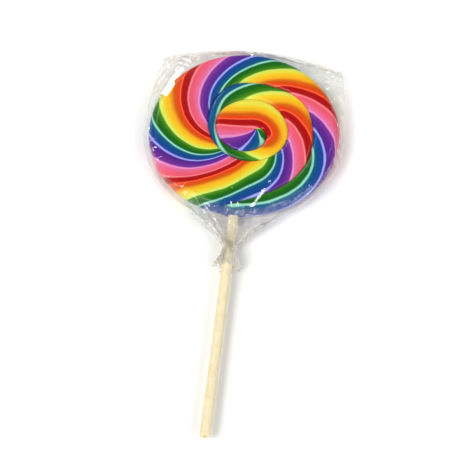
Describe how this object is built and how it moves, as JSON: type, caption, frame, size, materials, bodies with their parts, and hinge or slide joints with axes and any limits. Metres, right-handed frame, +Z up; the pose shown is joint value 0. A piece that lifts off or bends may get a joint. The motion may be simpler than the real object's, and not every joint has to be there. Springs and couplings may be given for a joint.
{
  "type": "wrapped swirl lollipop",
  "caption": "Flat round candy disc coiled from a twisted rainbow-striped rope, on a paper stick, in a clear film bag gathered round the stick.",
  "frame": {"origin": "bottom centre of the whole lollipop's bounding box, on the surface that it lies on", "axes": "+Z up out of the candy's shown face, +Y from the stick towards the bag's top seam, +X to the right seen with the stick pointing down"},
  "size_m": [0.087, 0.1872, 0.0108],
  "materials": {
    "candy": "gloss",
    "stick": "matte",
    "film": "gloss"
  },
  "bodies": {
    "root": {"candy": "candy", "stick": "stick", "wrapper": "film"}
  },
  "joints": []
}
